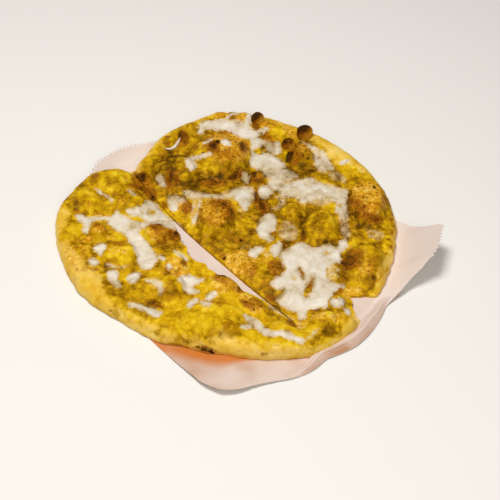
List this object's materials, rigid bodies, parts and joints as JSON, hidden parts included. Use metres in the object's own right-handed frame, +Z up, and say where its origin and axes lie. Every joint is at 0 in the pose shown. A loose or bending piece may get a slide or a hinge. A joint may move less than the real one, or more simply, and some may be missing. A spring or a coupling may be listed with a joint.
{
  "type": "cheese naan on paper",
  "caption": "Round charred flatbread with herb chutney and melted cheese, cut across almost to its rim, lying on pinked greaseproof paper that curls up round it.",
  "frame": {"origin": "on the table, on the flat underside of the paper, below the middle of the naan", "axes": "+Z up out of the bread; -Y is the front, where the rounded flap of paper shows; the cut runs from the cleft at the back left to the front right"},
  "size_m": [0.2893, 0.2935, 0.0277],
  "materials": {
    "paper": "thin off-white greaseproof paper, matt, warm where the bread's oil and light reach it",
    "naan": "baked bread with olive-green chutney, glossy melted white cheese, brown blisters and black char"
  },
  "bodies": {
    "root": {"paper": "paper", "naan": "naan"}
  },
  "joints": []
}
